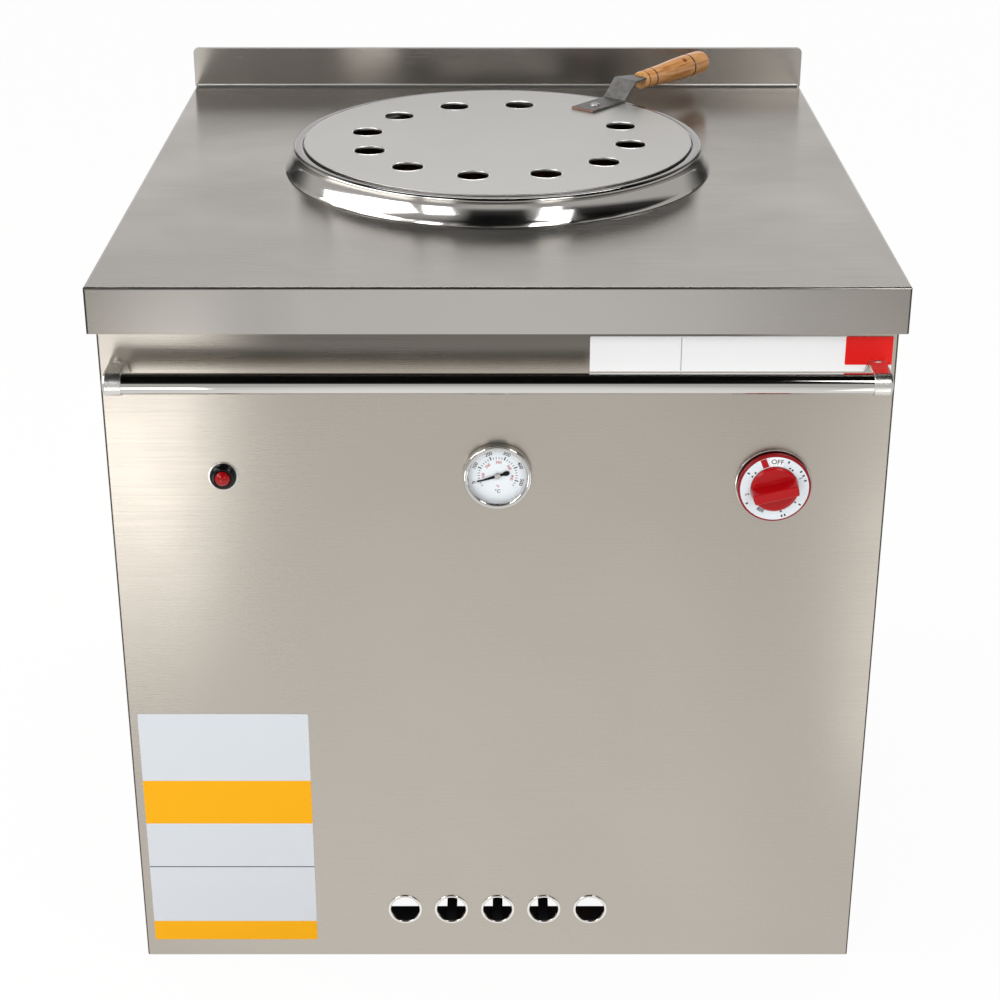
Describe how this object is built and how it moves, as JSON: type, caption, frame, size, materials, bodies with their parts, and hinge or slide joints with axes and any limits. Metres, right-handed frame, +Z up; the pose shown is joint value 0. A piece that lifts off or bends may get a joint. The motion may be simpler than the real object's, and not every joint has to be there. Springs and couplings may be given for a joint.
{
  "type": "clay tandoor oven",
  "caption": "Gas-fired clay tandoor in a square stainless cabinet with a perforated lift-off lid, towel rail, dial thermometer, gas knob and igniter.",
  "frame": {"origin": "centre of the cabinet's footprint on the floor", "axes": "+Z up, -Y towards the person at the front panel, +X to that person's right"},
  "size_m": [0.864, 0.9185, 0.9291],
  "materials": {
    "brushed_stainless": "satin",
    "polished_stainless": "polished",
    "rail_chrome": "polished",
    "satin_stainless": "satin",
    "strap_steel": "satin",
    "zinc_steel": "satin",
    "black_iron": "matte",
    "frame_paint": "matte",
    "burner_iron": "matte",
    "fired_clay": "matte",
    "ceramic_fibre": "matte",
    "mineral_fill": "matte",
    "label_film": "gloss",
    "badge_red": "gloss",
    "dial_white": "satin",
    "dial_glass": "gloss",
    "pointer_black": "matte",
    "knob_red": "gloss",
    "skirt_red": "gloss",
    "scale_white": "satin",
    "yellow_brass": "satin",
    "black_nylon": "gloss",
    "button_red": "gloss",
    "lead_silicone": "matte",
    "white_porcelain": "gloss",
    "feed_aluminium": "satin",
    "copper_tube": "satin",
    "turned_wood": "satin"
  },
  "bodies": {
    "cabinet": {"base_frame": "frame_paint", "caster_pads": "frame_paint", "corner_posts": "frame_paint", "platform_legs": "frame_paint", "pot_platform": "frame_paint", "front_panel": "brushed_stainless", "left_panel": "brushed_stainless", "right_panel": "brushed_stainless", "rear_panel": "brushed_stainless", "rear_screws": "zinc_steel", "counter_top": "brushed_stainless", "mouth_ring": "polished_stainless", "rim_gasket": "ceramic_fibre", "clay_pot": "fired_clay", "insulation_fill": "mineral_fill", "rail_bar": "rail_chrome", "rail_brackets": "rail_chrome", "rail_screws": "zinc_steel", "rating_label": "label_film", "name_plate": "label_film", "badge_plate": "badge_red", "thermometer_case": "polished_stainless", "thermometer_rim": "polished_stainless", "thermometer_dial": "dial_white", "thermometer_glass": "dial_glass", "thermometer_probe": "zinc_steel", "thermometer_nut": "zinc_steel", "knob_bezel": "rail_chrome", "return_spring": "zinc_steel", "gas_valve": "yellow_brass", "valve_bracket": "satin_stainless", "igniter_washer": "rail_chrome", "igniter_bezel": "black_nylon", "igniter_barrel": "black_nylon", "igniter_nut": "zinc_steel", "igniter_spring": "zinc_steel", "ignition_lead": "lead_silicone", "spark_electrode": "white_porcelain", "supply_pipe": "black_iron", "inlet_nipple": "zinc_steel", "feed_tube": "feed_aluminium", "gas_orifice": "yellow_brass", "ring_burner": "burner_iron", "burner_bars": "frame_paint", "pilot_burner": "zinc_steel", "pilot_tube": "copper_tube", "thermocouple": "copper_tube", "flame_deflector": "frame_paint"},
    "lid": {"lid_disc": "satin_stainless", "handle_strap": "strap_steel", "handle_rivet": "strap_steel", "handle_grip": "turned_wood"},
    "knob_slider": {"thrust_washer": "yellow_brass"},
    "knob": {"knob_skirt": "skirt_red", "knob_scale": "scale_white", "knob_grip": "knob_red", "valve_spindle": "zinc_steel"},
    "igniter_plunger": {"igniter_button": "button_red"},
    "pointer": {"thermometer_pointer": "pointer_black", "pointer_pivot": "zinc_steel"}
  },
  "joints": [
    {"name": "lid_lift", "type": "slide", "parent": "cabinet", "child": "lid", "axis": [0, 0, 1], "range_m": [0, 0.3]},
    {"name": "knob_push", "type": "slide", "parent": "cabinet", "child": "knob_slider", "axis": [0, 1, 0], "range_m": [0, 0.003], "stiffness_N_per_m": 3000, "springref_m": -0.002, "deforming": ["return_spring"]},
    {"name": "knob_turn", "type": "hinge", "parent": "knob_slider", "child": "knob", "pos_m": [0.301, -0.43, 0.631], "axis": [0, 1, 0], "range_deg": [-270, 0]},
    {"name": "igniter_press", "type": "slide", "parent": "cabinet", "child": "igniter_plunger", "axis": [0, 1, 0], "range_m": [0, 0.008], "stiffness_N_per_m": 1500, "springref_m": -0.003, "deforming": ["igniter_spring"]},
    {"name": "pointer_swing", "type": "hinge", "parent": "cabinet", "child": "pointer", "pos_m": [0, -0.424, 0.643], "axis": [0, 1, 0], "range_deg": [-27.4, 242.6], "stiffness_Nm_per_rad": 0.002}
  ]
}
